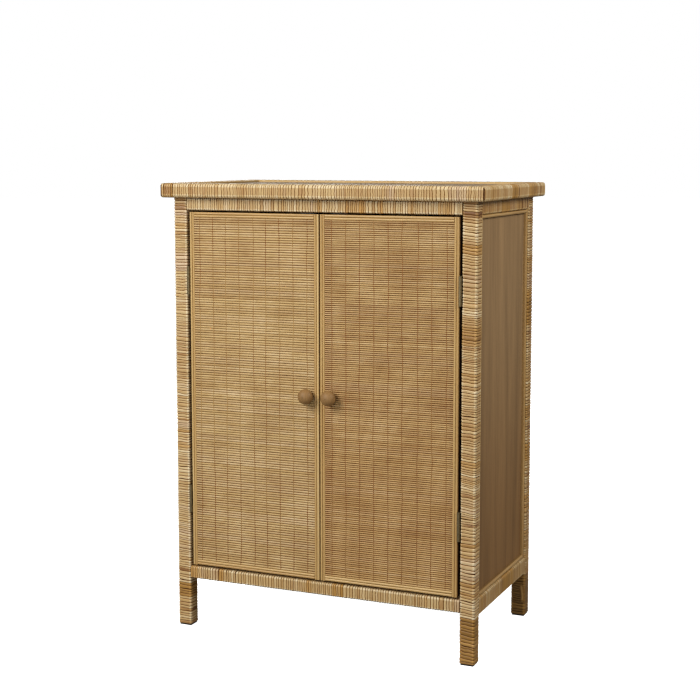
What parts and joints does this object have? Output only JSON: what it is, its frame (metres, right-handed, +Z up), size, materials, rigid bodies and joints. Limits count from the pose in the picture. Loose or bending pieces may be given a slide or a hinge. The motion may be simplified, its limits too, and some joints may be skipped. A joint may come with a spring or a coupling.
{
  "type": "record cabinet",
  "caption": "Free-standing rattan-wound record cabinet with hinged stick-mat doors, ball knobs, an inner shelf and an overhanging table top.",
  "frame": {"origin": "on the floor below the middle of the table top", "axes": "+X to the right seen from the front, +Y to the back, +Z up; the doors face -Y"},
  "size_m": [0.75, 0.447, 1],
  "materials": {
    "antique_brass": "aged",
    "cane_bead": "satin",
    "frame_wood": "sawn, unfinished",
    "knob_wood": "satin, turned",
    "plastic": "matt",
    "rattan_peel": "satin, peel strips",
    "steel": "zinc plated",
    "stick_mat": "matt, split sticks",
    "top_veneer": "matt veneer",
    "veneer": "matt veneer"
  },
  "bodies": {
    "cabinet": {"back_panel": "veneer", "floor_panel": "veneer", "glides": "plastic", "hinge_pins": "antique_brass", "hinge_post_leaves": "antique_brass", "magnetic_catches": "plastic", "post_front_left": "frame_wood", "post_front_right": "frame_wood", "post_rear_left": "frame_wood", "post_rear_right": "frame_wood", "post_wrap_front_left": "rattan_peel", "post_wrap_front_right": "rattan_peel", "post_wrap_rear_left": "rattan_peel", "post_wrap_rear_right": "rattan_peel", "rail_front_bottom": "frame_wood", "rail_front_top": "frame_wood", "rail_left_bottom": "frame_wood", "rail_left_top": "frame_wood", "rail_rear_bottom": "frame_wood", "rail_rear_top": "frame_wood", "rail_right_bottom": "frame_wood", "rail_right_top": "frame_wood", "rail_wrap_front_bottom": "rattan_peel", "rail_wrap_front_top": "rattan_peel", "rail_wrap_left_bottom": "rattan_peel", "rail_wrap_left_top": "rattan_peel", "rail_wrap_rear_bottom": "rattan_peel", "rail_wrap_rear_top": "rattan_peel", "rail_wrap_right_bottom": "rattan_peel", "rail_wrap_right_top": "rattan_peel", "shelf": "veneer", "shelf_bearers": "frame_wood", "side_beads_left": "cane_bead", "side_beads_right": "cane_bead", "side_panel_left": "veneer", "side_panel_right": "veneer", "top_beads": "cane_bead", "top_frame": "frame_wood", "top_panel": "top_veneer", "top_wrap_front": "rattan_peel", "top_wrap_left": "rattan_peel", "top_wrap_rear": "rattan_peel", "top_wrap_right": "rattan_peel"},
    "left_door": {"door_beads_left": "cane_bead", "door_frame_left": "frame_wood", "door_mat_left": "stick_mat", "door_panel_left": "veneer", "hinge_door_leaves_left": "antique_brass", "knob_left": "knob_wood", "strike_plate_left": "steel"},
    "right_door": {"door_beads_right": "cane_bead", "door_frame_right": "frame_wood", "door_mat_right": "stick_mat", "door_panel_right": "veneer", "hinge_door_leaves_right": "antique_brass", "knob_right": "knob_wood", "strike_plate_right": "steel"}
  },
  "joints": [
    {"name": "left_door_hinge", "type": "hinge", "parent": "cabinet", "child": "left_door", "pos_m": [-0.317, -0.199, 0.5405], "axis": [0, 0, -1], "range_deg": [0, 165]},
    {"name": "right_door_hinge", "type": "hinge", "parent": "cabinet", "child": "right_door", "pos_m": [0.317, -0.199, 0.5405], "axis": [0, 0, 1], "range_deg": [0, 165]}
  ]
}
